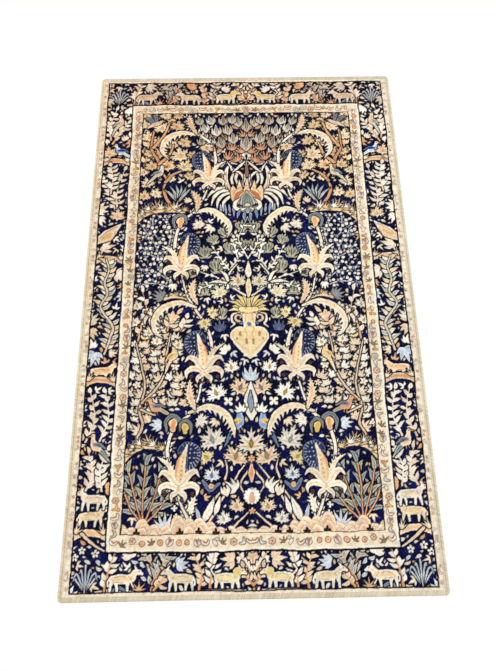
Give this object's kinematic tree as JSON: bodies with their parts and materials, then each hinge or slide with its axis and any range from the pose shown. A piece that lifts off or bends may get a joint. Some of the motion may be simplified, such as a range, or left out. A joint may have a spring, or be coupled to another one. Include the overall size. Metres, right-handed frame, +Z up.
{
  "type": "tapestry wall hanging",
  "caption": "Lined pictorial tapestry with a corded binding round its edge, hung by cloth sleeves on a steel tube that rests in open wall hooks.",
  "frame": {"origin": "centre of the rectangle of the wall brackets' screw holes, on the wall plane; the hanging tube's axis is straight in front of it", "axes": "+X along the wall, to the right seen from the front; +Y into the wall, so the picture faces -Y; +Z up, along the hanging's length"},
  "size_m": [0.914, 0.0254, 1.524],
  "materials": {
    "woven_pile": "matte woven wool picture",
    "lining_cotton": "matte plain-weave cotton",
    "cotton_cord": "matte twisted cotton",
    "binding_tape": "matte ribbed tape",
    "sleeve_cotton": "matte plain-weave cotton",
    "sewing_thread": "matte sewing thread",
    "steel_tube": "drawn steel, satin",
    "cap_plastic": "matte moulded plastic",
    "bracket_paint": "satin off-white paint on steel"
  },
  "bodies": {
    "wall_brackets": {"wall_bracket_left": "bracket_paint", "wall_bracket_right": "bracket_paint"},
    "rod": {"hanging_rod": "steel_tube"},
    "hanging": {"picture_panel": "woven_pile", "lining": "lining_cotton", "edge_cord": "cotton_cord", "binding_left": "binding_tape", "binding_right": "binding_tape", "binding_top": "binding_tape", "binding_bottom": "binding_tape", "rod_sleeve_left": "sleeve_cotton", "rod_sleeve_middle": "sleeve_cotton", "rod_sleeve_right": "sleeve_cotton", "sleeve_stitches": "sewing_thread"},
    "left_end_cap": {"rod_end_cap_left": "cap_plastic"},
    "right_end_cap": {"rod_end_cap_right": "cap_plastic"}
  },
  "joints": [
    {"name": "rod_lift", "type": "slide", "parent": "wall_brackets", "child": "rod", "axis": [0, 0, 1], "range_m": [0, 0.014]},
    {"name": "hanging_swing", "type": "hinge", "parent": "rod", "child": "hanging", "pos_m": [0, -0.011, 0], "axis": [-1, 0, 0], "range_deg": [0, 25]},
    {"name": "left_cap_pull", "type": "slide", "parent": "rod", "child": "left_end_cap", "axis": [-1, 0, 0], "range_m": [0, 0.016]},
    {"name": "right_cap_pull", "type": "slide", "parent": "rod", "child": "right_end_cap", "axis": [1, 0, 0], "range_m": [0, 0.016]}
  ]
}
